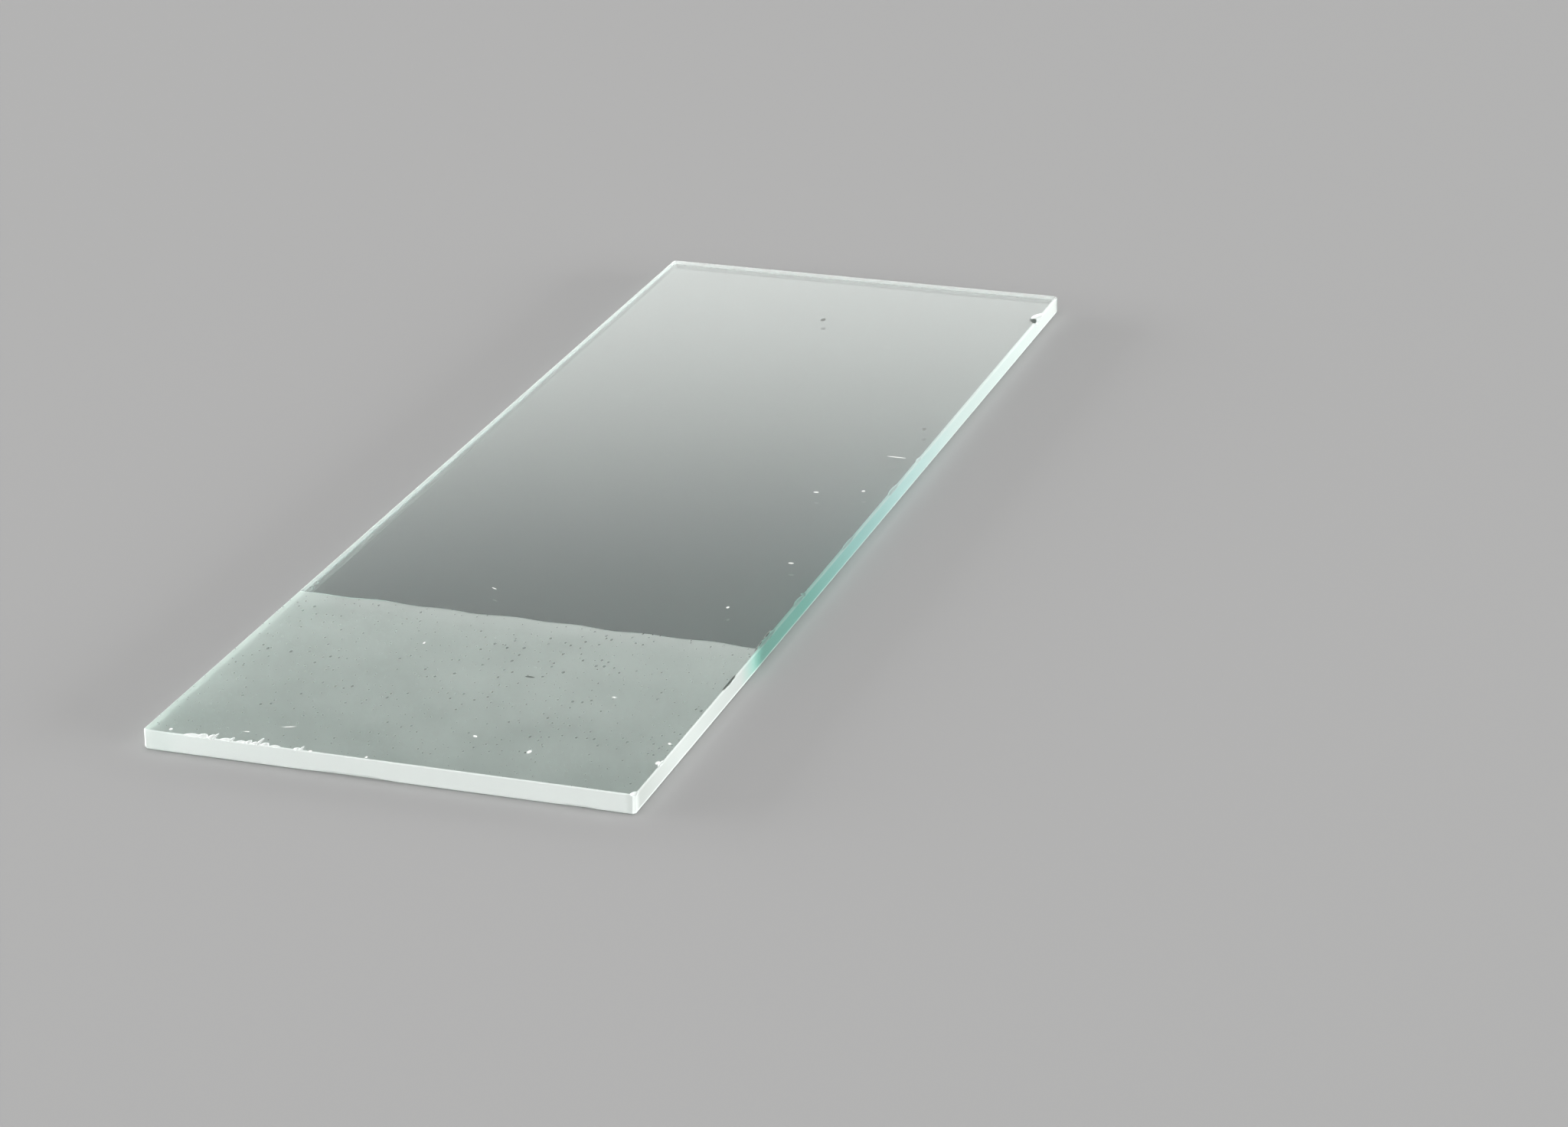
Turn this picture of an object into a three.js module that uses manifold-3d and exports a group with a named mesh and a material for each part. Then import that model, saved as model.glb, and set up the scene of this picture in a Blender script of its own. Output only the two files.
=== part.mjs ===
// A microscope slide: one plate of clear glass with a matt label end, in millimetres.
//
// +X runs along the slide, away from the label end, +Y across it, and +Z up. The origin is the middle of
// the underside. The plate has its arrises ground, its label end etched a few hundredths deep, and the
// small shell-shaped chips that a used slide has along its edges.

import * as THREE from 'three';
import { mergeVertices } from 'three/addons/utils/BufferGeometryUtils.js';
import Module from 'manifold-3d';

// The plate.
const LENGTH = 75;
const WIDTH = 25;
const THICKNESS = 1.05;
const ARRIS = 0.09; // leg of the 45 degree flat ground along every long edge of both faces
const CORNER = 0.14; // leg of the flat ground on each upright corner

// The matt label end: the glass is etched back over the whole width, up to a slightly wavy border.
const LABEL_LENGTH = 17.9;
const ETCH_DEPTH = 0.02;
const BORDER_SKEW = 0.08; // how far the border runs ahead on the +Y side, at the edge
const BORDER_WAVES = [
  { height: 0.07, period: 3.6, phase: 0.4 },
  { height: 0.05, period: 8.5, phase: 2.1 },
];
const BORDER_STEPS = 56;

const LABEL_END = -LENGTH / 2; // the x of the end face beside the label
const RIGHT_SIDE = -WIDTH / 2; // the y of the more worn long side
const LEFT_SIDE = WIDTH / 2;
const UNDERSIDE = 0;

// Chips. Each bite is struck on an arris: at is its middle along that arris, half its half length, reach
// how far it eats into the face, and depth how far down the edge it goes. Neighbouring bites run together
// into one ragged chip.
const LABEL_END_CHIPS = [
  { at: 9.9, half: 0.5, reach: 0.3, depth: 0.1 },
  { at: 9.4, half: 0.32, reach: 0.46, depth: 0.1 },
  { at: 8.95, half: 0.2, reach: 0.52, depth: 0.09 },
  { at: 8.8, half: 0.1, reach: 0.76, depth: 0.08 },
  { at: 8.15, half: 0.35, reach: 0.3, depth: 0.09 },
  { at: 7.9, half: 0.12, reach: 0.5, depth: 0.08 },
  { at: 7.35, half: 0.3, reach: 0.24, depth: 0.08 },
  { at: 7, half: 0.18, reach: 0.42, depth: 0.08 },
  { at: 6.65, half: 0.22, reach: 0.34, depth: 0.08 },
  { at: 6.5, half: 0.12, reach: 0.86, depth: 0.09 },
  { at: 6.15, half: 0.24, reach: 0.38, depth: 0.09 },
  { at: 5.6, half: 0.3, reach: 0.22, depth: 0.07 },
  { at: 4.5, half: 0.2, reach: 0.3, depth: 0.08 },
  { at: 4.3, half: 0.1, reach: 0.58, depth: 0.07 },
];
const RIGHT_SIDE_CHIPS = [
  { at: -33.9, half: 0.5, reach: 0.15, depth: 0.12 },
  { at: -24.1, half: 1.25, reach: 0.13, depth: 0.11 },
  { at: -18.8, half: 1.1, reach: 0.17, depth: 0.13 },
  { at: -17.9, half: 0.8, reach: 0.21, depth: 0.15 },
  { at: -13.3, half: 0.9, reach: 0.2, depth: 0.13 },
  { at: -12.4, half: 0.2, reach: 0.24, depth: 0.13 },
  { at: -5, half: 1.3, reach: 0.15, depth: 0.11 },
  { at: 3.1, half: 1.1, reach: 0.18, depth: 0.12 },
  { at: 7.9, half: 0.5, reach: 0.16, depth: 0.12 },
  { at: 33.1, half: 1.1, reach: 0.5, depth: 0.2 },
  { at: 32.8, half: 0.45, reach: 0.32, depth: 0.3 },
];
const UNDERSIDE_LEFT_CHIPS = [
  { at: -18.4, half: 0.45, reach: 0.3, depth: 0.12 },
  { at: -17.6, half: 0.35, reach: 0.26, depth: 0.1 },
];

// Two long, hardly visible hollows where the lower arris of the label end was ground harder.
const HEAVY_GRINDING = [
  { at: 1.7, half: 3.6, reach: 0.17, depth: 0.15 },
  { at: -9.6, half: 1.6, reach: 0.14, depth: 0.13 },
];

// The corner between the label end and the right side has lost its tip on the upper face.
const CORNER_SPALL = { along: 0.4, across: 0.26, down: 0.14 };

// A chip is the bite of a rippled ball. Its middle lies outside the glass, so the bite is a shallow shell.
const BALL_LIFT = 0.6; // above the face, as a share of the ball's half height
const BALL_OUT = 0.3; // out from the edge, as a share of its half breadth
const BALL_DETAIL = 5;
const SHELL_RINGS = 3; // ripples in the shell, from the struck point outwards
const SHELL_RIPPLE = 0.035;

const wasm = await Module();
wasm.setup();

// A closed three.js geometry as a manifold solid.
function toSolid(geometry) {
  const bare = geometry.clone();
  bare.deleteAttribute('normal');
  bare.deleteAttribute('uv');
  const merged = mergeVertices(bare);
  return new wasm.Manifold(new wasm.Mesh({
    numProp: 3,
    vertProperties: new Float32Array(merged.attributes.position.array),
    triVerts: new Uint32Array(merged.index.array),
  }));
}

// A manifold solid back as a three.js geometry with flat facets.
function toGeometry(solid) {
  const mesh = solid.getMesh();
  const indexed = new THREE.BufferGeometry();
  indexed.setAttribute('position', new THREE.BufferAttribute(mesh.vertProperties, 3));
  indexed.setIndex(new THREE.BufferAttribute(mesh.triVerts, 1));
  const faceted = indexed.toNonIndexed();
  faceted.computeVertexNormals();
  return faceted;
}

// The plate: its outline with the four upright corners ground off, extruded with an arris all round.
function plate() {
  const x = LENGTH / 2;
  const y = WIDTH / 2;
  const outline = new THREE.Shape();
  outline.moveTo(-x + CORNER, -y);
  outline.lineTo(x - CORNER, -y);
  outline.lineTo(x, -y + CORNER);
  outline.lineTo(x, y - CORNER);
  outline.lineTo(x - CORNER, y);
  outline.lineTo(-x + CORNER, y);
  outline.lineTo(-x, y - CORNER);
  outline.lineTo(-x, -y + CORNER);
  outline.closePath();
  const body = new THREE.ExtrudeGeometry(outline, {
    depth: THICKNESS - 2 * ARRIS,
    bevelThickness: ARRIS,
    bevelSize: ARRIS,
    bevelOffset: -ARRIS,
    bevelSegments: 1,
  });
  body.translate(0, 0, ARRIS);
  return toSolid(body);
}

// How far the etched field reaches from the label end, at a place across the slide.
function labelBorder(y) {
  let reach = LABEL_LENGTH + (BORDER_SKEW * y) / LEFT_SIDE;
  for (const wave of BORDER_WAVES) {
    reach += wave.height * Math.sin((2 * Math.PI * y) / wave.period + wave.phase);
  }
  return reach;
}

// What the etching takes away: a thin slab that ends in the wavy border.
function etching() {
  const margin = 1;
  const y = WIDTH / 2 + margin;
  const field = new THREE.Shape();
  field.moveTo(LABEL_END - margin, -y);
  for (let step = 0; step <= BORDER_STEPS; step += 1) {
    const across = -y + (2 * y * step) / BORDER_STEPS;
    field.lineTo(LABEL_END + labelBorder(across), across);
  }
  field.lineTo(LABEL_END - margin, y);
  field.closePath();
  const slab = new THREE.ExtrudeGeometry(field, { depth: margin, bevelEnabled: false });
  slab.translate(0, 0, THICKNESS - ETCH_DEPTH);
  return toSolid(slab);
}

// What a blow takes out of glass: a flattened ball whose skin is rippled in rings.
function rippledBall(halfX, halfY, halfZ) {
  const ball = new THREE.IcosahedronGeometry(1, BALL_DETAIL);
  const position = ball.attributes.position;
  const point = new THREE.Vector3();
  for (let index = 0; index < position.count; index += 1) {
    point.fromBufferAttribute(position, index);
    const fromMiddle = Math.hypot(point.x, point.y);
    point.multiplyScalar(1 + SHELL_RIPPLE * Math.cos(2 * Math.PI * SHELL_RINGS * fromMiddle));
    position.setXYZ(index, point.x * halfX, point.y * halfY, point.z * halfZ);
  }
  return toSolid(ball);
}

// The half sizes of the ball whose bite has a chip's half length, reach and depth.
function ballFor(chip) {
  return {
    along: chip.half / Math.sqrt(1 - BALL_LIFT ** 2 - BALL_OUT ** 2),
    inward: chip.reach / (Math.sqrt(1 - BALL_LIFT ** 2) - BALL_OUT),
    down: chip.depth / (Math.sqrt(1 - BALL_OUT ** 2) - BALL_LIFT),
  };
}

// A chip in the label end's arris, on the upper face or the underside.
function chipOnEnd(chip, face) {
  const ball = ballFor(chip);
  const x = LABEL_END - BALL_OUT * ball.inward;
  const z = face + Math.sign(face - THICKNESS / 2) * BALL_LIFT * ball.down;
  return rippledBall(ball.inward, ball.along, ball.down).translate([x, chip.at, z]);
}

// A chip in a long side's arris, on the upper face or the underside.
function chipOnSide(chip, side, face) {
  const ball = ballFor(chip);
  const y = side + Math.sign(side) * BALL_OUT * ball.inward;
  const z = face + Math.sign(face - THICKNESS / 2) * BALL_LIFT * ball.down;
  return rippledBall(ball.along, ball.inward, ball.down).translate([chip.at, y, z]);
}

// The slide: the plate, less the etching, the chips, the hard grinding and the lost tip.
function slideSolid() {
  const cornerTip = rippledBall(CORNER_SPALL.along, CORNER_SPALL.across, CORNER_SPALL.down);
  const cuts = [
    etching(),
    cornerTip.translate([LABEL_END, RIGHT_SIDE, THICKNESS]),
    ...LABEL_END_CHIPS.map((chip) => chipOnEnd(chip, THICKNESS)),
    ...RIGHT_SIDE_CHIPS.map((chip) => chipOnSide(chip, RIGHT_SIDE, THICKNESS)),
    ...UNDERSIDE_LEFT_CHIPS.map((chip) => chipOnSide(chip, LEFT_SIDE, UNDERSIDE)),
    ...HEAVY_GRINDING.map((pass) => chipOnEnd(pass, UNDERSIDE)),
  ];
  return cuts.reduce((solid, cut) => solid.subtract(cut), plate());
}

const glass = new THREE.MeshStandardMaterial({
  color: 0xdcebe4,
  roughness: 0.06,
  metalness: 0,
  transparent: true,
  opacity: 0.35,
});

const slide = new THREE.Mesh(toGeometry(slideSolid()), glass);
slide.name = 'slide';

const microscopeSlide = new THREE.Group();
microscopeSlide.add(slide);

export default microscopeSlide;
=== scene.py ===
"""A microscope slide: one plate of clear glass with ground edges and an etched label end.

Lengths are in metres. +X runs along the slide, away from the label end, +Y across it, and +Z is up.
"""

import math

import bmesh
import bpy
from mathutils import Matrix, Vector


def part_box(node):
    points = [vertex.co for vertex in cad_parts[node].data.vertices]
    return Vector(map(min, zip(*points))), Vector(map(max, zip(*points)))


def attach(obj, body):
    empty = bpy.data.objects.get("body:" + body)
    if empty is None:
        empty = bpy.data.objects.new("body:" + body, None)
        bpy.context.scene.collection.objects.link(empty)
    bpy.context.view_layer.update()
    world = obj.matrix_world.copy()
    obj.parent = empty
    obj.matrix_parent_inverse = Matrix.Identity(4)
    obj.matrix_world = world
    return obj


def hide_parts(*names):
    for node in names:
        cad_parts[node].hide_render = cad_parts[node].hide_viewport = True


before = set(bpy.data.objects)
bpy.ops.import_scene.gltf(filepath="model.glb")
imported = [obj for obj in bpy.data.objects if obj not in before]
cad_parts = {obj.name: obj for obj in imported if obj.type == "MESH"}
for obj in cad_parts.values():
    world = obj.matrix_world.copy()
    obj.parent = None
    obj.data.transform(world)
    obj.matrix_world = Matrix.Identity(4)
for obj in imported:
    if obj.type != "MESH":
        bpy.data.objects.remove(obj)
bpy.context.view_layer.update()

MM = 0.001

# The plate, from the frame. The label end is the one at the lowest x.
LOW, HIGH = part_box("slide")
LABEL_END = LOW.x
FAR_END = HIGH.x
RIGHT_SIDE = LOW.y
LEFT_SIDE = HIGH.y
UPPER_FACE = HIGH.z
UNDERSIDE = LOW.z
ARRIS = 0.09 * MM  # leg of the flat ground along every long edge of both faces
CORNER = 0.14 * MM  # leg of the flat ground on each upright corner
SMOOTH_ANGLE = math.radians(15)  # facets that meet at less than this are shaded as one surface

# The etched label end, whose inner border is slightly askew and wavy.
LABEL_LENGTH = 17.9 * MM
BORDER = LABEL_END + LABEL_LENGTH
ETCH_DEPTH = 0.02 * MM
BORDER_SKEW = 0.08 * MM  # how far the border runs ahead at the left side
BORDER_WAVES = [
    {"height": 0.07 * MM, "period": 3.6 * MM, "phase": 0.4},
    {"height": 0.05 * MM, "period": 8.5 * MM, "phase": 2.1},
]
BORDER_STEPS = 56

# Chips, in millimetres: the middle and half length along the arris, the reach into the face, the depth.
LABEL_END_CHIPS = [
    (9.9, 0.5, 0.3, 0.1),
    (9.4, 0.32, 0.46, 0.1),
    (8.95, 0.2, 0.52, 0.09),
    (8.8, 0.1, 0.76, 0.08),
    (8.15, 0.35, 0.3, 0.09),
    (7.9, 0.12, 0.5, 0.08),
    (7.35, 0.3, 0.24, 0.08),
    (7, 0.18, 0.42, 0.08),
    (6.65, 0.22, 0.34, 0.08),
    (6.5, 0.12, 0.86, 0.09),
    (6.15, 0.24, 0.38, 0.09),
    (5.6, 0.3, 0.22, 0.07),
    (4.5, 0.2, 0.3, 0.08),
    (4.3, 0.1, 0.58, 0.07),
]
RIGHT_SIDE_CHIPS = [
    (-33.9, 0.5, 0.15, 0.12),
    (-24.1, 1.25, 0.13, 0.11),
    (-18.8, 1.1, 0.17, 0.13),
    (-17.9, 0.8, 0.21, 0.15),
    (-13.3, 0.9, 0.2, 0.13),
    (-12.4, 0.2, 0.24, 0.13),
    (-5, 1.3, 0.15, 0.11),
    (3.1, 1.1, 0.18, 0.12),
    (7.9, 0.5, 0.16, 0.12),
    (33.1, 1.1, 0.5, 0.2),
    (32.8, 0.45, 0.32, 0.3),
]
UNDERSIDE_LEFT_CHIPS = [
    (-18.4, 0.45, 0.3, 0.12),
    (-17.6, 0.35, 0.26, 0.1),
]
HEAVY_GRINDING = [
    (1.7, 3.6, 0.17, 0.15),
    (-9.6, 1.6, 0.14, 0.13),
]
CORNER_SPALL = (0.4, 0.26, 0.14)  # the lost tip: along the slide, across it and down

# A chip is the bite of a rippled ball whose middle lies outside the glass.
BALL_LIFT = 0.6  # above the face, as a share of the ball's half height
BALL_OUT = 0.3  # out from the edge, as a share of its half breadth
BALL_DETAIL = 5
SHELL_RINGS = 3
SHELL_RIPPLE = 0.035

FINISHES = ("polished", "ground", "etched", "chipped")

# Marks on the upper face, in millimetres and degrees: x, y, half length, half width, turn.
# Dust specks, and white marks along the label end's arris that are painted glints.
DUST_AND_GLINTS = [
    (-37.42, 3.8, 0.1, 0.08, 0),
    (-37.4, 7.3, 0.08, 0.07, 0),
    (-37.3, 1, 0.1, 0.07, 0),
    (-37.1, 11.2, 0.12, 0.09, 0),
    (-36.3, 7.6, 0.16, 0.05, 100),
    (-35.2, 5.9, 0.34, 0.05, 115),
    (-34.5, -6.1, 0.2, 0.11, 0),
    (-33.9, -12.3, 0.2, 0.11, 0),
    (-33.6, -3, 0.14, 0.09, 60),
    (-31.7, -12.1, 0.13, 0.08, 30),
    (-27.4, -7.7, 0.12, 0.07, 80),
    (-23.9, 3.7, 0.13, 0.07, 0),
    (-16.3, 3, 0.18, 0.05, 60),
    (-15.2, -9.3, 0.13, 0.08, 0),
    (-8.6, -10.5, 0.15, 0.1, 90),
    (1.5, -8.6, 0.15, 0.1, 90),
    (2.4, -11, 0.12, 0.1, 0),
    (7.9, -11.2, 0.55, 0.06, 90),
]
# Grime, and dark lines and spots at the right side's chips that paint the shade along their rims and in
# their hollows.
GRIME_AND_CHIP_SHADE = [
    (-26.3, -2.9, 0.27, 0.09, 88),
    (-24.1, -12.43, 1.1, 0.05, 0),
    (-19.4, -12.36, 0.8, 0.03, 3),
    (-17.9, -12.31, 0.6, 0.03, 0),
    (12.6, -11.4, 0.22, 0.13, 0),
    (29.1, -0.1, 0.27, 0.16, 0),
    (32.8, -12.22, 0.5, 0.2, 0),
]
DUST_AND_GLINT_DEPTH = 0.1 * MM
GRIME_AND_SHADE_DEPTH = 0.5 * MM  # the grime and the painted chip shade also fill the chips that they lie beside

# The colours of the ground edges. The right side's sea green, by the share of the way from the label end,
# is painted light and shade: a glow, dark teal in the middle and pale further on, that stands in for light
# piped through the clear glass.
EDGE_WHITE = (0.9, 0.94, 0.92, 1)
EDGE_PAINTED_GLOW = [
    (0.0, (0.8, 0.84, 0.82, 1)),
    (0.008, (0.48, 0.51, 0.49, 1)),
    (0.08, (0.58, 0.62, 0.6, 1)),
    (0.2, (0.5, 0.54, 0.52, 1)),
    (0.235, (0.22, 0.5, 0.42, 1)),
    (0.34, (0.24, 0.57, 0.49, 1)),
    (0.46, (0.44, 0.78, 0.74, 1)),
    (0.56, (0.62, 0.9, 0.87, 1)),
    (0.7, (0.75, 0.88, 0.85, 1)),
    (1.0, (0.66, 0.69, 0.67, 1)),
]
LOWER_ARRIS_HIGHLIGHT = 0.5  # a painted highlight: how far the lower arris goes to white
UPPER_ARRIS_HIGHLIGHT = (0.15, 0.4)  # the same painted highlight for the upper one, at the border and at the slide's middle
NO_TINT = (1, 1, 1, 1)
ETCHED_TINT = (0.86, 0.95, 0.9, 1)
# The white of the dust and of the painted glints.
DUST_AND_GLINT_WHITE = (0.95, 0.95, 0.93, 1)
# Grey for grime and painted shade on the polished glass, and near black where they lie in the label or in a
# chip.
THIN_GRIME_AND_SHADE = (0.45, 0.46, 0.44, 1)
CAKED_GRIME_AND_SHADE = (0.08, 0.09, 0.08, 1)

# Where one zone of a finish fades into the next.
PAST_LABEL = (BORDER - 1.0 * MM, BORDER + 0.4 * MM)
PAST_MIDDLE = (0, 10 * MM)
BY_LEFT_SIDE = (LEFT_SIDE - 2 * MM, LEFT_SIDE - 1 * MM)
OFF_RIGHT_SIDE = (RIGHT_SIDE + 0.3 * MM, RIGHT_SIDE + 0.5 * MM)
BY_FAR_END = (FAR_END - 0.5 * MM, FAR_END - 0.3 * MM)
ARRIS_FADE = (0.09 * MM, 0.04 * MM)  # down the edge from where the arris starts

# How much of the light each finish scatters, from 0, clear, to 1, white. A pair is for two places along the
# slide. The left side and the far end are mostly seen from inside the glass.
# The changes along the slide are painted light and shade: the ground edges are whiter by the label and
# towards the far end, the chips whiter towards the far end, and the etched field clearer, and so darker,
# towards the label end.
GROUND_BY_LABEL = 0.68
GROUND_PAST_LABEL = (0.3, 0.6)
GROUND_LEFT_BY_LABEL = 0.52
GROUND_LEFT_PAST_LABEL = (0.4, 0.52)
GROUND_FAR_END = 0.12
GROUND_UNEVEN = 0.04
CHIPPED_BY_LABEL = 0.8
CHIPPED_PAST_LABEL = (0.25, 0.9)
ETCHED_HAZE = (0.12, 0.26)
ETCHED_UNEVEN = 0.03
DUST_AND_GLINT_SCATTER = 1.0
GRIME_AND_SHADE_SCATTER = 0.35

# How rough each finish is.
SMEARED = 0.03  # the polished faces, where they are smeared most
GROUND_ROUGH = 1.0
ETCHED_ROUGH = 0.28
CHIPPED_ROUGH = 0.5
DUST_AND_GLINT_ROUGH = 0.9
GRIME_AND_SHADE_ROUGH = 0.5
GRAIN_HEIGHT = 0.01 * MM
GRAIN_STRENGTH = 0.25

# The size of the lumps in each pattern.
GRAIN = 0.06 * MM
FINE = 0.12 * MM
CLOUDS = 3 * MM
SMEARS = 6 * MM
SMEAR_STRETCH = (2.2, 1, 1)

# The pinholes in the etching.
PINHOLE_SPACING = 0.42 * MM
PINHOLE_LARGEST = 0.17  # the radius, as a share of the spacing
PINHOLE_RAGS = 0.09 * MM  # the size of the rags of their rims
PINHOLE_RAGGED = 0.08 * MM  # how far the rags shift a rim
PINHOLE_SQUEEZE = (0.55, 1, 1)  # the squeeze along the slide that draws the pinholes out
PINHOLE_CROWDS = 2.5 * MM
PINHOLE_RIM = (-0.02, 0.03)
MARK_RIM = (0.8, 1.1)  # a mark fades out over this share of its half size

# The glass itself.
GLASS_IOR = 1.52
GLASS_GREEN = (0.3, 0.78, 0.66, 1)
GLASS_DENSITY = 80.0

# The studio.
FLOOR_GREY = (0.36, 0.36, 0.36, 1)
FLOOR_ROUGH = 0.8
FLOOR_SIZE = 3
FLOOR_GAP = 0.02 * MM  # the floor lies this far under the slide
WALL_WHITE = (1.0, 0.98, 0.965, 1)
GLOW = [(0.1, 1.2), (0.3, 1.62), (0.4, 0.1)]  # the height of a direction, and the brightness there
# Two low lights along the sides and a large one overhead: the name, the place, the width and height, the
# power, and whether it shows in the glass.
SOFTBOXES = [
    ("left_softbox", (-0.1, 1.25, 0.13), (1.5, 0.24), 27, False),
    ("right_softbox", (-0.1, -1.3, 0.13), (1.5, 0.24), 28, False),
    ("top_softbox", (0, 0, 1.4), (1.6, 1.6), 18, True),
]

# The view.
VIEW_AIM = Vector((-6.3, -9.34, 0)) * MM
VIEW_DISTANCE = 224.9 * MM
VIEW_AZIMUTH = math.radians(18.594)
VIEW_DOWN = math.radians(22.106)
VIEW_ROLL = math.radians(-0.625)
VIEW_LENS = 98.1
VIEW_SENSOR = 36
VIEW_NEAREST = 10 * MM


# ---------------------------------------------------------------- handling


def deselect_all():
    bpy.ops.object.select_all(action="DESELECT")


def settle(piece):
    """Puts the piece's place and size into its mesh, and leaves the object at the origin."""
    deselect_all()
    piece.select_set(True)
    bpy.context.view_layer.objects.active = piece
    bpy.ops.object.transform_apply(location=True, rotation=True, scale=True)


def choose_edges(piece, wanted):
    """In edit mode, selects just the edges whose direction wanted(direction) agrees to."""
    bpy.ops.mesh.select_mode(type="EDGE")
    bpy.ops.mesh.select_all(action="DESELECT")
    mesh = bmesh.from_edit_mesh(piece.data)
    for edge in mesh.edges:
        start, end = edge.verts
        if wanted((end.co - start.co).normalized()):
            edge.select_set(True)
    bmesh.update_edit_mesh(piece.data)


def finish_marker(name):
    """A bare material that marks which faces have a finish while the plate is being cut."""
    return bpy.data.materials.get(name) or bpy.data.materials.new(name)


# ---------------------------------------------------------------- the plate


def plate_blank():
    """The sawn plate, with its upright corners and both faces' arrises ground off."""
    deselect_all()
    bpy.ops.mesh.primitive_cube_add(size=1, location=(LOW + HIGH) / 2)
    plate = bpy.context.object
    plate.name = "slide_glass"
    plate.scale = HIGH - LOW
    settle(plate)
    bpy.ops.object.mode_set(mode="EDIT")
    choose_edges(plate, lambda along: abs(along.z) > 0.9)
    bpy.ops.mesh.bevel(offset=CORNER, segments=1, affect="EDGES")
    choose_edges(plate, lambda along: abs(along.z) < 0.1)
    bpy.ops.mesh.bevel(offset=ARRIS, segments=2, affect="EDGES")
    bpy.ops.object.mode_set(mode="OBJECT")
    for name in FINISHES:
        plate.data.materials.append(finish_marker(name))
    for face in plate.data.polygons:
        finish = "polished" if abs(face.normal.z) > 0.99 else "ground"
        face.material_index = FINISHES.index(finish)
    return plate


def label_border(y):
    """How far the etched field reaches from the label end, at a place across the slide."""
    reach = LABEL_LENGTH + BORDER_SKEW * y / LEFT_SIDE
    for wave in BORDER_WAVES:
        reach += wave["height"] * math.sin(2 * math.pi * y / wave["period"] + wave["phase"])
    return reach


def etching():
    """What the etching takes away: a block over the label end, with a wavy inner border."""
    margin = 1 * MM
    place = (LABEL_END, 0, UPPER_FACE - ETCH_DEPTH + margin / 2)
    deselect_all()
    bpy.ops.mesh.primitive_cube_add(size=1, location=place)
    block = bpy.context.object
    block.scale = (2 * margin, LEFT_SIDE - RIGHT_SIDE + 2 * margin, margin)
    settle(block)
    bpy.ops.object.mode_set(mode="EDIT")
    choose_edges(block, lambda along: abs(along.y) > 0.9)
    bpy.ops.mesh.subdivide(number_cuts=BORDER_STEPS - 1)
    bpy.ops.object.mode_set(mode="OBJECT")
    for vertex in block.data.vertices:
        if vertex.co.x > LABEL_END:
            vertex.co.x = LABEL_END + label_border(vertex.co.y)
    block.data.materials.append(finish_marker("etched"))
    return block


def rippled_ball(half_x, half_y, half_z, place):
    """What a blow takes out of glass: a flattened ball whose skin is rippled in rings."""
    deselect_all()
    bpy.ops.mesh.primitive_ico_sphere_add(subdivisions=BALL_DETAIL, radius=1, location=place)
    ball = bpy.context.object
    for vertex in ball.data.vertices:
        from_middle = math.hypot(vertex.co.x, vertex.co.y)
        vertex.co *= 1 + SHELL_RIPPLE * math.cos(2 * math.pi * SHELL_RINGS * from_middle)
    ball.scale = (half_x, half_y, half_z)
    settle(ball)
    ball.data.materials.append(finish_marker("chipped"))
    return ball


def ball_for(half, reach, depth):
    """The half sizes of the ball whose bite has a chip's half length, reach and depth."""
    along = half / math.sqrt(1 - BALL_LIFT**2 - BALL_OUT**2)
    inward = reach / (math.sqrt(1 - BALL_LIFT**2) - BALL_OUT)
    down = depth / (math.sqrt(1 - BALL_OUT**2) - BALL_LIFT)
    return along, inward, down


def chip_on_end(chip, face):
    """A chip in the label end's arris, on the upper face or the underside."""
    at, half, reach, depth = (MM * value for value in chip)
    along, inward, down = ball_for(half, reach, depth)
    lift = BALL_LIFT * down if face == UPPER_FACE else -BALL_LIFT * down
    return rippled_ball(inward, along, down, (LABEL_END - BALL_OUT * inward, at, face + lift))


def chip_on_side(chip, side, face):
    """A chip in a long side's arris, on the upper face or the underside."""
    at, half, reach, depth = (MM * value for value in chip)
    along, inward, down = ball_for(half, reach, depth)
    out = BALL_OUT * inward if side == LEFT_SIDE else -BALL_OUT * inward
    lift = BALL_LIFT * down if face == UPPER_FACE else -BALL_LIFT * down
    return rippled_ball(along, inward, down, (at, side + out, face + lift))


def cut(plate, cutter):
    """Takes the cutter's volume out of the plate. The new faces keep the cutter's finish."""
    modifier = plate.modifiers.new("cut", "BOOLEAN")
    modifier.operation = "DIFFERENCE"
    modifier.solver = "MANIFOLD"
    modifier.material_mode = "TRANSFER"
    modifier.object = cutter
    deselect_all()
    plate.select_set(True)
    bpy.context.view_layer.objects.active = plate
    bpy.ops.object.modifier_apply(modifier=modifier.name)
    bpy.data.objects.remove(cutter)


def wear(plate):
    """Etches the label end, then takes the chips and the hard grinding out of the edges."""
    cut(plate, etching())
    along, across, down = (MM * value for value in CORNER_SPALL)
    cut(plate, rippled_ball(along, across, down, (LABEL_END, RIGHT_SIDE, UPPER_FACE)))
    for chip in LABEL_END_CHIPS:
        cut(plate, chip_on_end(chip, UPPER_FACE))
    for chip in RIGHT_SIDE_CHIPS:
        cut(plate, chip_on_side(chip, RIGHT_SIDE, UPPER_FACE))
    for chip in UNDERSIDE_LEFT_CHIPS:
        cut(plate, chip_on_side(chip, LEFT_SIDE, UNDERSIDE))
    for grinding in HEAVY_GRINDING:
        cut(plate, chip_on_end(grinding, UNDERSIDE))


def put_in_order(plate):
    """Sorts the faces by their first two corners, because cutting leaves a few in chance order."""
    mesh = bmesh.new()
    mesh.from_mesh(plate.data)
    count = len(mesh.verts)
    mesh.faces.sort(key=lambda face: face.verts[0].index * count + face.verts[1].index)
    mesh.to_mesh(plate.data)
    mesh.free()


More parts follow.
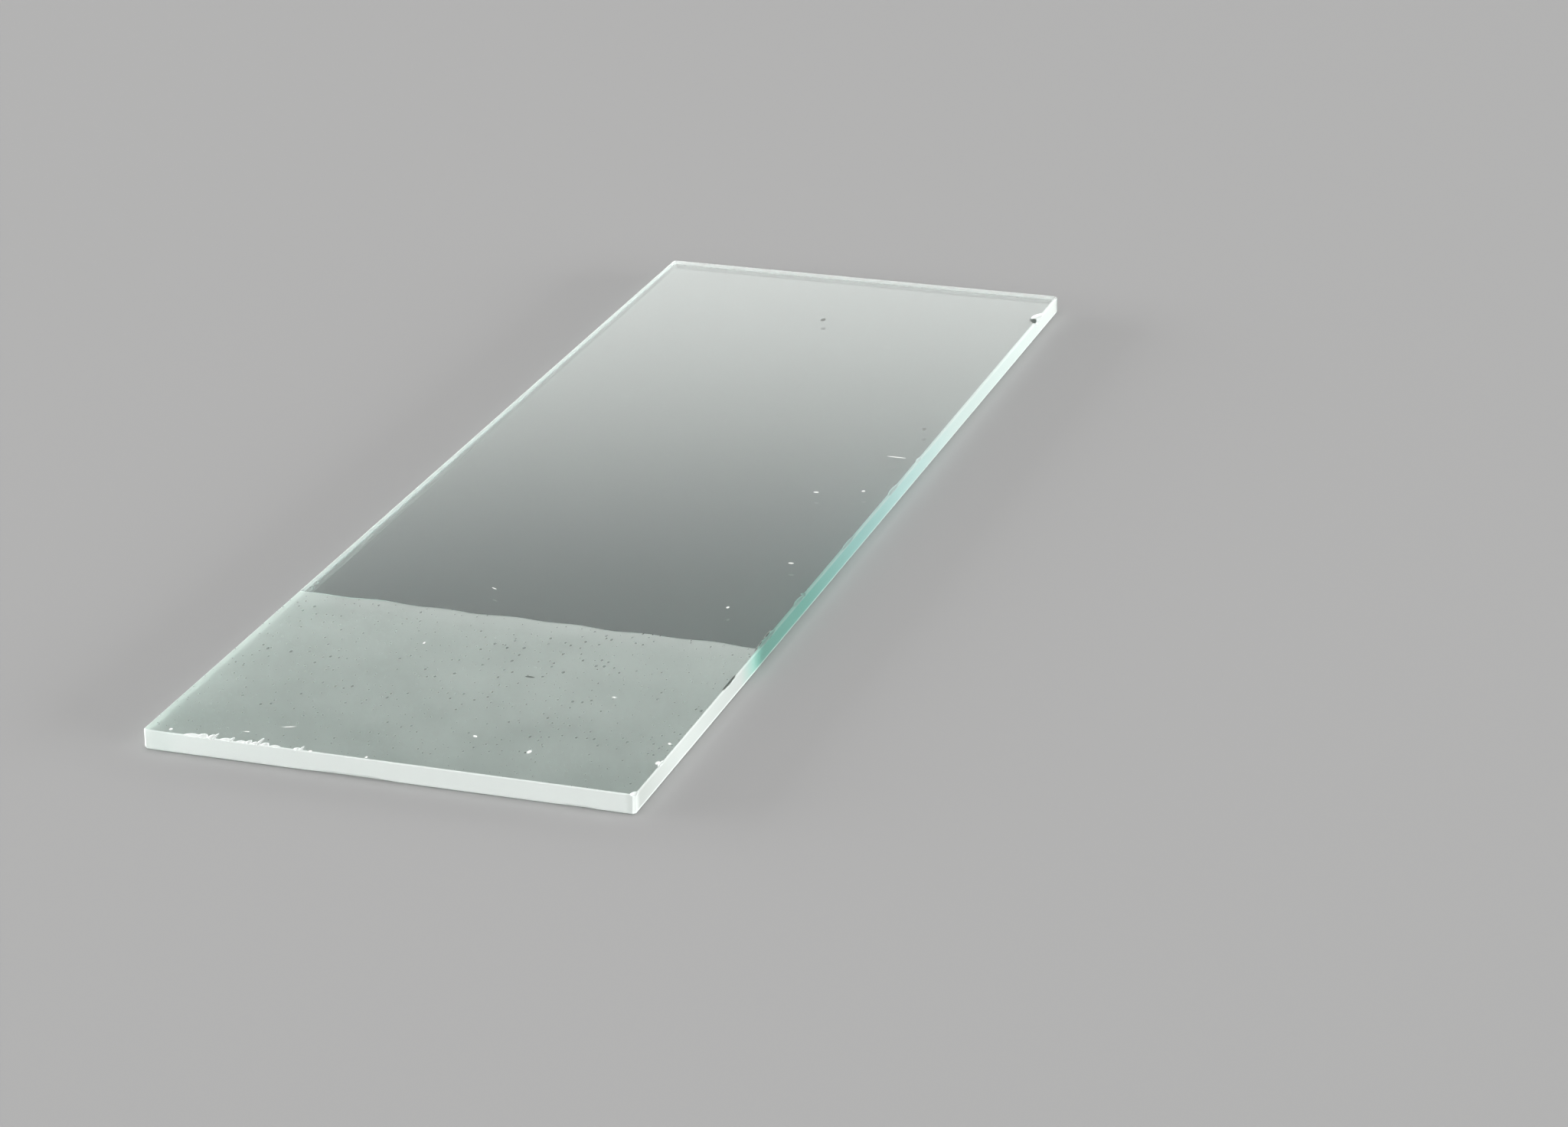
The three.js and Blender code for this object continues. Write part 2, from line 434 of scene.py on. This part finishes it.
def shade(plate):
    """Smooth inside each chip, and crisp wherever one finish meets another."""
    deselect_all()
    plate.select_set(True)
    bpy.context.view_layer.objects.active = plate
    bpy.ops.object.shade_smooth_by_angle(angle=SMOOTH_ANGLE)
    mesh = bmesh.new()
    mesh.from_mesh(plate.data)
    for edge in mesh.edges:
        if len({face.material_index for face in edge.link_faces}) > 1:
            edge.smooth = False
    mesh.to_mesh(plate.data)
    mesh.free()


def note_finishes(plate):
    """Writes each face's finish into attributes that the glass reads, and takes the markers off."""
    names = [slot.material.name for slot in plate.material_slots]
    finishes = [names[face.material_index] for face in plate.data.polygons]
    for finish in FINISHES[1:]:
        layer = plate.data.attributes.new(finish, "FLOAT", "FACE")
        layer.data.foreach_set("value", [float(name == finish) for name in finishes])
    for face in plate.data.polygons:
        face.material_index = 0
    plate.data.materials.clear()


# ---------------------------------------------------------------- materials


class Nodes:
    """A material's node tree, with short calls for the nodes that the finishes below are made of."""

    def __init__(self, name):
        self.material = bpy.data.materials.new(name)
        self.material.use_nodes = True
        self.tree = self.material.node_tree
        self.shader = self.tree.nodes["Principled BSDF"]
        self.output = self.tree.nodes["Material Output"]

    def add(self, kind, **settings):
        node = self.tree.nodes.new(kind)
        for name, value in settings.items():
            setattr(node, name, value)
        return node

    def feed(self, socket, value):
        if isinstance(value, bpy.types.NodeSocket):
            self.tree.links.new(value, socket)
        else:
            socket.default_value = value

    def maths(self, operation, first, second=0.0, clamp=False):
        node = self.add("ShaderNodeMath", operation=operation, use_clamp=clamp)
        self.feed(node.inputs[0], first)
        self.feed(node.inputs[1], second)
        return node.outputs[0]

    def product(self, first, second):
        return self.maths("MULTIPLY", first, second)

    def attribute(self, name):
        return self.add("ShaderNodeAttribute", attribute_name=name).outputs["Fac"]

    def place(self):
        return self.add("ShaderNodeTexCoord").outputs["Object"]

    def axes(self):
        split = self.add("ShaderNodeSeparateXYZ")
        self.feed(split.inputs[0], self.place())
        return split.outputs

    def ramp(self, value, stops):
        """Colours at shares of value from 0 to 1, and blends between them."""
        node = self.add("ShaderNodeValToRGB")
        self.feed(node.inputs["Fac"], value)
        while len(node.color_ramp.elements) < len(stops):
            node.color_ramp.elements.new(0.5)
        for element, (share, colour) in zip(node.color_ramp.elements, stops):
            element.position = share
            element.color = colour
        return node.outputs["Color"]

    def noise(self, size, detail=2.0, stretch=(1, 1, 1)):
        """Noise from 0 to 1 whose lumps are about size across."""
        mapping = self.add("ShaderNodeMapping")
        self.feed(mapping.inputs["Vector"], self.place())
        mapping.inputs["Scale"].default_value = [1 / (size * axis) for axis in stretch]
        node = self.add("ShaderNodeTexNoise")
        self.feed(node.inputs["Vector"], mapping.outputs[0])
        node.inputs["Scale"].default_value = 1.0
        node.inputs["Detail"].default_value = detail
        return node.outputs["Fac"]

    def spread(self, value, low, high, to_low=0.0, to_high=1.0):
        """value from low to high, spread over to_low to to_high and held there beyond."""
        node = self.add("ShaderNodeMapRange", clamp=True)
        self.feed(node.inputs["Value"], value)
        self.feed(node.inputs["From Min"], low)
        self.feed(node.inputs["From Max"], high)
        self.feed(node.inputs["To Min"], to_low)
        self.feed(node.inputs["To Max"], to_high)
        return node.outputs[0]

    def vary(self, value, texture, amount):
        """value, raised and lowered by up to amount as a noise texture goes."""
        return self.maths("ADD", value, self.spread(texture, 0.3, 0.7, -amount, amount))

    def blend(self, share, first, second):
        node = self.add("ShaderNodeMix", data_type="FLOAT")
        self.feed(node.inputs[0], share)
        self.feed(node.inputs[2], first)
        self.feed(node.inputs[3], second)
        return node.outputs[0]

    def blend_colour(self, share, first, second):
        node = self.add("ShaderNodeMix", data_type="RGBA")
        self.feed(node.inputs[0], share)
        self.feed(node.inputs[6], first)
        self.feed(node.inputs[7], second)
        return node.outputs[2]


def pinholes(glass):
    """Specks, up to a tenth of a millimetre across, that the etching missed: 1 in a speck, 0 outside."""
    ragged = glass.add("ShaderNodeTexNoise", noise_dimensions="2D")
    glass.feed(ragged.inputs["Vector"], glass.place())
    ragged.inputs["Scale"].default_value = 1 / PINHOLE_RAGS
    shift = glass.add("ShaderNodeVectorMath", operation="MULTIPLY_ADD")
    glass.feed(shift.inputs[0], ragged.outputs["Color"])
    shift.inputs[1].default_value = (PINHOLE_RAGGED, PINHOLE_RAGGED, 0)
    glass.feed(shift.inputs[2], glass.place())
    squeeze = glass.add("ShaderNodeVectorMath", operation="MULTIPLY")
    glass.feed(squeeze.inputs[0], shift.outputs[0])
    squeeze.inputs[1].default_value = PINHOLE_SQUEEZE
    cells = glass.add("ShaderNodeTexVoronoi", feature="F1", voronoi_dimensions="2D")
    glass.feed(cells.inputs["Vector"], squeeze.outputs[0])
    cells.inputs["Scale"].default_value = 1 / PINHOLE_SPACING
    size = glass.spread(cells.outputs["Color"], 0.35, 0.9, 0.0, PINHOLE_LARGEST)
    crowding = glass.spread(glass.noise(PINHOLE_CROWDS, 1.0), 0.4, 0.6, 0.4, 1.0)
    x, y, z = glass.axes()
    inwards = glass.spread(x, LABEL_END, LABEL_END + LABEL_LENGTH / 2, 0.5, 1.0)
    radius = glass.product(size, glass.product(crowding, inwards))
    edge = glass.maths("SUBTRACT", radius, cells.outputs["Distance"])
    return glass.spread(edge, *PINHOLE_RIM)


def specks(glass, table, depth):
    """1 on the marks of a table, 0 elsewhere. A mark is an oval on the upper face, and goes depth down."""
    nearest = 10.0
    for x, y, half_length, half_width, turn in table:
        oval = glass.add("ShaderNodeMapping", vector_type="TEXTURE")
        glass.feed(oval.inputs["Vector"], glass.place())
        oval.inputs["Location"].default_value = (x * MM, y * MM, UPPER_FACE)
        oval.inputs["Rotation"].default_value = (0, 0, math.radians(turn))
        oval.inputs["Scale"].default_value = (half_length * MM, half_width * MM, depth)
        reach = glass.add("ShaderNodeVectorMath", operation="LENGTH")
        glass.feed(reach.inputs[0], oval.outputs[0])
        nearest = glass.maths("MINIMUM", nearest, reach.outputs["Value"])
    return glass.spread(nearest, *MARK_RIM, 1.0, 0.0)


class Zones:
    """Where the glass has each finish, from 0 to 1."""

    def __init__(self, glass):
        self.ground = glass.attribute("ground")
        self.chipped = glass.attribute("chipped")
        self.label = glass.attribute("etched")
        self.etched = glass.product(self.label, glass.maths("SUBTRACT", 1.0, pinholes(glass)))
        # Dust, with painted glints on the label end's arris.
        self.dust_and_glints = specks(glass, DUST_AND_GLINTS, DUST_AND_GLINT_DEPTH)
        # Grime, with painted shade along and inside the chips.
        self.grime_and_shade = specks(glass, GRIME_AND_CHIP_SHADE, GRIME_AND_SHADE_DEPTH)


def scattering(glass, zones):
    """How much light the surface scatters: none where it is polished. Its changes along the slide are
    painted light and shade.
    """
    x, y, z = glass.axes()
    past_label = glass.spread(x, *PAST_LABEL)
    fine = glass.noise(FINE)

    white = glass.blend(past_label, GROUND_BY_LABEL, glass.spread(x, 0, FAR_END, *GROUND_PAST_LABEL))
    left_white = glass.spread(x, *PAST_MIDDLE, *GROUND_LEFT_PAST_LABEL)
    left_white = glass.blend(past_label, GROUND_LEFT_BY_LABEL, left_white)
    white = glass.blend(glass.spread(y, *BY_LEFT_SIDE), white, left_white)
    white = glass.blend(glass.spread(x, *BY_FAR_END), white, GROUND_FAR_END)
    white = glass.vary(white, fine, GROUND_UNEVEN)

    haze = glass.spread(x, LABEL_END, BORDER, *ETCHED_HAZE)
    haze = glass.vary(haze, glass.noise(CLOUDS, 3.0), ETCHED_UNEVEN)
    haze = glass.vary(haze, fine, ETCHED_UNEVEN)

    broken = glass.blend(past_label, CHIPPED_BY_LABEL, glass.spread(x, 0, FAR_END, *CHIPPED_PAST_LABEL))

    scattered = glass.product(zones.ground, white)
    scattered = glass.blend(zones.etched, scattered, haze)
    scattered = glass.blend(zones.chipped, scattered, broken)
    scattered = glass.blend(zones.dust_and_glints, scattered, DUST_AND_GLINT_SCATTER)
    return glass.blend(zones.grime_and_shade, scattered, GRIME_AND_SHADE_SCATTER)


def roughness(glass, zones):
    """The polish, with faint smears, and the roughness of each other finish."""
    smears = glass.spread(glass.noise(SMEARS, 3.0, SMEAR_STRETCH), 0.55, 0.8, 0.0, SMEARED)
    rough = glass.blend(zones.ground, smears, GROUND_ROUGH)
    rough = glass.blend(zones.etched, rough, ETCHED_ROUGH)
    rough = glass.blend(zones.chipped, rough, CHIPPED_ROUGH)
    rough = glass.blend(zones.dust_and_glints, rough, DUST_AND_GLINT_ROUGH)
    return glass.blend(zones.grime_and_shade, rough, GRIME_AND_SHADE_ROUGH)


def grain(glass, zones):
    """The fine grain of the ground edges and the etched label end."""
    bump = glass.add("ShaderNodeBump")
    bump.inputs["Strength"].default_value = GRAIN_STRENGTH
    bump.inputs["Distance"].default_value = GRAIN_HEIGHT
    matt = glass.maths("ADD", zones.ground, zones.label)
    glass.feed(bump.inputs["Height"], glass.product(glass.noise(GRAIN), matt))
    return bump.outputs[0]


def edge_white_and_painted_glow(glass):
    """The ground edges: white, with a painted sea-green glow and shade on the right side that stands in for
    light piped through the clear glass, and painted highlights along the arrises.
    """
    x, y, z = glass.axes()
    painted_glow = glass.ramp(glass.spread(x, LABEL_END, FAR_END), EDGE_PAINTED_GLOW)
    side = glass.blend_colour(glass.spread(y, *OFF_RIGHT_SIDE), painted_glow, EDGE_WHITE)
    from_middle = glass.maths("ABSOLUTE", glass.maths("SUBTRACT", z, (UPPER_FACE + UNDERSIDE) / 2))
    arris_start = (UPPER_FACE - UNDERSIDE) / 2 - ARRIS
    fade = [arris_start - down for down in ARRIS_FADE]
    # Painted highlights: the arrises go towards white, the lower one evenly and the upper one more towards
    # the slide's middle.
    upper_highlight = glass.spread(x, BORDER, 0, *UPPER_ARRIS_HIGHLIGHT)
    arris_highlight = glass.spread(z, UNDERSIDE, UPPER_FACE, LOWER_ARRIS_HIGHLIGHT, upper_highlight)
    return glass.blend_colour(glass.spread(from_middle, *fade, 0.0, arris_highlight), side, EDGE_WHITE)


def colouring(glass, zones):
    """The colour of what each finish scatters, with the painted glow, highlights, glints and shade among
    it. The polished faces have none of their own.
    """
    worked = glass.maths("MAXIMUM", zones.ground, zones.chipped)
    # Ground faces and chips take the edge white with its painted glow.
    colour = glass.blend_colour(worked, NO_TINT, edge_white_and_painted_glow(glass))
    colour = glass.blend_colour(zones.etched, colour, ETCHED_TINT)
    colour = glass.blend_colour(zones.dust_and_glints, colour, DUST_AND_GLINT_WHITE)
    # The caked colour goes where a mark lies in the etched label or in a chip; in the chips it is painted
    # shade.
    in_label_or_chip = glass.maths("MAXIMUM", zones.label, zones.chipped)
    return glass.blend_colour(zones.grime_and_shade, colour, glass.blend_colour(in_label_or_chip, THIN_GRIME_AND_SHADE, CAKED_GRIME_AND_SHADE))


def slide_glass():
    """Clear soda-lime glass. The same glass is satin white where ground and hazy where etched."""
    glass = Nodes("slide_glass")
    zones = Zones(glass)
    surface = glass.shader.inputs
    clear = glass.maths("SUBTRACT", 1.0, scattering(glass, zones), clamp=True)
    glass.feed(surface["Transmission Weight"], clear)
    glass.feed(surface["Roughness"], roughness(glass, zones))
    glass.feed(surface["Normal"], grain(glass, zones))
    glass.feed(surface["Base Color"], colouring(glass, zones))
    surface["IOR"].default_value = GLASS_IOR
    tint = glass.add("ShaderNodeVolumeAbsorption")
    tint.inputs["Color"].default_value = GLASS_GREEN
    tint.inputs["Density"].default_value = GLASS_DENSITY
    glass.feed(glass.output.inputs["Volume"], tint.outputs[0])
    return glass.material


def floor_paint():
    paint = Nodes("floor_paint")
    paint.shader.inputs["Base Color"].default_value = FLOOR_GREY
    paint.shader.inputs["Roughness"].default_value = FLOOR_ROUGH
    return paint.material


# ---------------------------------------------------------------- studio


def floor():
    deselect_all()
    bpy.ops.mesh.primitive_plane_add(size=FLOOR_SIZE, location=(0, 0, UNDERSIDE - FLOOR_GAP))
    sheet = bpy.context.object
    sheet.name = "studio_floor"
    sheet.data.materials.append(floor_paint())


def softbox(name, place, size, power, mirrored):
    """A soft rectangular light that faces the slide."""
    lamp = bpy.data.lights.new(name, "AREA")
    lamp.shape = "RECTANGLE"
    lamp.size, lamp.size_y = size
    lamp.energy = power
    fixture = bpy.data.objects.new(name, lamp)
    bpy.context.scene.collection.objects.link(fixture)
    fixture.location = place
    fixture.rotation_euler = (-Vector(place)).to_track_quat("-Z", "Y").to_euler()
    fixture.visible_glossy = mirrored


def wall_glow():
    """Pale walls all round, brightest a little above the floor. The glass mirrors them as a gradient."""
    world = bpy.data.worlds.new("studio")
    bpy.context.scene.world = world
    world.use_nodes = True
    nodes = world.node_tree.nodes
    links = world.node_tree.links
    direction = nodes.new("ShaderNodeTexCoord")
    height = nodes.new("ShaderNodeSeparateXYZ")
    links.new(direction.outputs["Generated"], height.inputs[0])
    lowest = nodes.new("ShaderNodeValue")
    lowest.outputs[0].default_value = GLOW[0][1]
    strength = lowest.outputs[0]
    for (low, dim), (high, bright) in zip(GLOW, GLOW[1:]):
        change = nodes.new("ShaderNodeMapRange")
        change.interpolation_type = "SMOOTHSTEP"
        links.new(height.outputs["Z"], change.inputs["Value"])
        change.inputs["From Min"].default_value = low
        change.inputs["From Max"].default_value = high
        change.inputs["To Min"].default_value = 0.0
        change.inputs["To Max"].default_value = bright - dim
        total = nodes.new("ShaderNodeMath")
        links.new(strength, total.inputs[0])
        links.new(change.outputs[0], total.inputs[1])
        strength = total.outputs[0]
    background = nodes["Background"]
    links.new(strength, background.inputs["Strength"])
    background.inputs["Color"].default_value = WALL_WHITE


def lights():
    wall_glow()
    for details in SOFTBOXES:
        softbox(*details)
    bpy.context.scene.view_settings.view_transform = "Standard"


def camera():
    """Looks down along the slide from beyond the label end, a little from its right."""
    data = bpy.data.cameras.new("camera")
    data.lens = VIEW_LENS
    data.sensor_width = VIEW_SENSOR
    data.clip_start = VIEW_NEAREST
    viewer = bpy.data.objects.new("camera", data)
    bpy.context.scene.collection.objects.link(viewer)
    turn = Matrix.Rotation(VIEW_AZIMUTH - math.pi / 2, 4, "Z")
    tilt = Matrix.Rotation(math.pi / 2 - VIEW_DOWN, 4, "X")
    roll = Matrix.Rotation(VIEW_ROLL, 4, "Z")
    facing = turn @ tilt @ roll
    back = facing.to_3x3() @ Vector((0, 0, VIEW_DISTANCE))
    viewer.matrix_world = Matrix.Translation(VIEW_AIM + back) @ facing
    bpy.context.scene.camera = viewer


# ---------------------------------------------------------------- the slide


def build_slide():
    plate = plate_blank()
    wear(plate)
    put_in_order(plate)
    shade(plate)
    note_finishes(plate)
    plate.data.materials.append(slide_glass())
    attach(plate, "root")
    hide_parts("slide")


camera()
floor()
lights()
build_slide()
